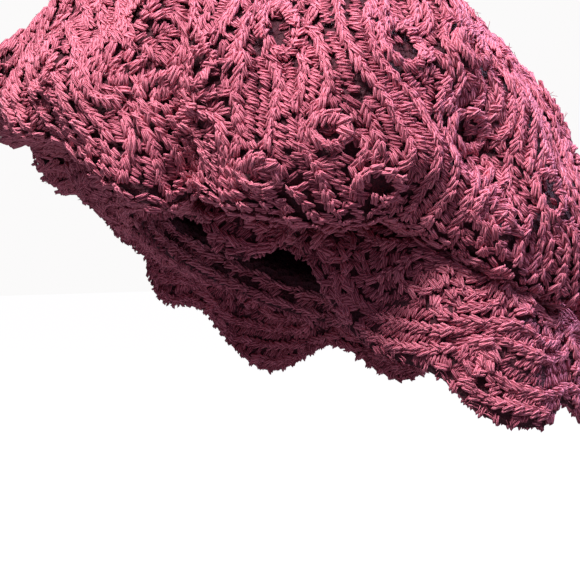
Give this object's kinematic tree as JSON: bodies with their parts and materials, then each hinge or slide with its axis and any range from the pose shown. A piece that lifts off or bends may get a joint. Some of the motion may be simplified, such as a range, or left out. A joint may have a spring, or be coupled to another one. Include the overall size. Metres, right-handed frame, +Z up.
{
  "type": "crochet ruffle hat",
  "caption": "Oversized soft crochet hat: a big puffed crown gathered to a head band, with a wavy ruffle that flares from it and slants down to the nape.",
  "frame": {"origin": "centre of the head opening, in the middle of the head band", "axes": "+Z up as worn, -Y towards the wearer's face, +X towards the wearer's left"},
  "size_m": [0.4533, 0.4447, 0.36],
  "materials": {
    "crown_yarn": "matt soft yarn",
    "head_band_yarn": "matt soft yarn",
    "ruffle_yarn": "matt soft yarn"
  },
  "bodies": {
    "root": {"crown": "crown_yarn", "head_band": "head_band_yarn", "ruffle": "ruffle_yarn"}
  },
  "joints": []
}
